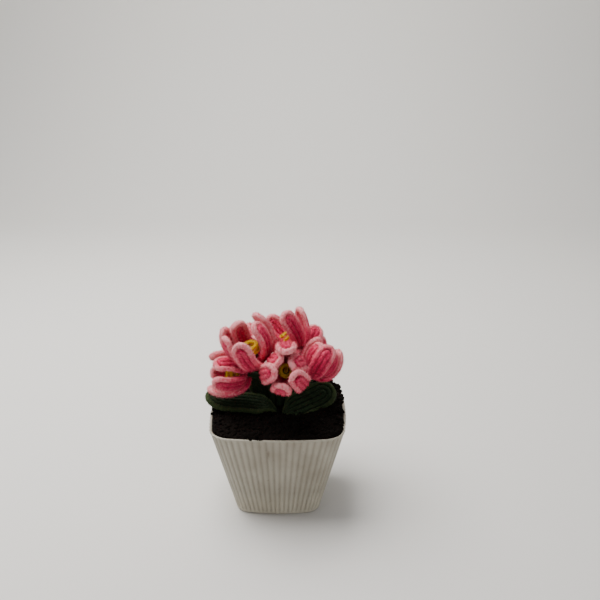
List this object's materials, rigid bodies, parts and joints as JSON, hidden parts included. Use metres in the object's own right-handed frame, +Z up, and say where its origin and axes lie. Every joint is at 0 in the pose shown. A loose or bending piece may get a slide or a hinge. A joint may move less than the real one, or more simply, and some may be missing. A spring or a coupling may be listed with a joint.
{
  "type": "potted tulip",
  "caption": "Bunch of fluffy pink craft tulips with yellow stamens and broad green leaves, standing in dark soil in a white fluted square pot.",
  "frame": {"origin": "centre of the pot's flat underside", "axes": "+Z up through the bunch, -Y towards the front, where one flower faces straight out, +X to the right seen from the front"},
  "size_m": [0.1095, 0.1107, 0.1566],
  "materials": {
    "pot_plastic": "satin warm white moulded plastic with upright flutes",
    "soil": "dark crumbly potting soil",
    "green_chenille": "dark green fluffy chenille stem",
    "pink_chenille": "pink fluffy chenille stem",
    "yellow_chenille": "yellow fluffy chenille stem"
  },
  "bodies": {
    "root": {"leaf_back": "green_chenille", "leaf_left": "green_chenille", "leaf_right": "green_chenille", "petal_back_left_1": "pink_chenille", "petal_back_left_2": "pink_chenille", "petal_back_left_3": "pink_chenille", "petal_back_left_4": "pink_chenille", "petal_back_left_5": "pink_chenille", "petal_back_left_6": "pink_chenille", "petal_back_right_1": "pink_chenille", "petal_back_right_2": "pink_chenille", "petal_back_right_3": "pink_chenille", "petal_back_right_4": "pink_chenille", "petal_back_right_5": "pink_chenille", "petal_back_right_6": "pink_chenille", "petal_front_1": "pink_chenille", "petal_front_2": "pink_chenille", "petal_front_3": "pink_chenille", "petal_front_4": "pink_chenille", "petal_front_5": "pink_chenille", "petal_front_6": "pink_chenille", "petal_left_low_1": "pink_chenille", "petal_left_low_2": "pink_chenille", "petal_left_low_3": "pink_chenille", "petal_left_low_4": "pink_chenille", "petal_left_low_5": "pink_chenille", "petal_left_upper_1": "pink_chenille", "petal_left_upper_2": "pink_chenille", "petal_left_upper_3": "pink_chenille", "petal_left_upper_4": "pink_chenille", "petal_left_upper_5": "pink_chenille", "petal_left_upper_6": "pink_chenille", "petal_right_1": "pink_chenille", "petal_right_2": "pink_chenille", "petal_right_3": "pink_chenille", "petal_right_4": "pink_chenille", "petal_right_5": "pink_chenille", "petal_right_6": "pink_chenille", "petal_top_1": "pink_chenille", "petal_top_2": "pink_chenille", "petal_top_3": "pink_chenille", "petal_top_4": "pink_chenille", "petal_top_5": "pink_chenille", "petal_top_6": "pink_chenille", "pot": "pot_plastic", "soil": "soil", "stamen_back_left": "yellow_chenille", "stamen_back_right": "yellow_chenille", "stamen_front": "yellow_chenille", "stamen_left_low": "yellow_chenille", "stamen_left_upper": "yellow_chenille", "stamen_right": "yellow_chenille", "stamen_top": "yellow_chenille", "stem_back_left": "green_chenille", "stem_back_right": "green_chenille", "stem_front": "green_chenille", "stem_left_low": "green_chenille", "stem_left_upper": "green_chenille", "stem_right": "green_chenille", "stem_top": "green_chenille"}
  },
  "joints": []
}
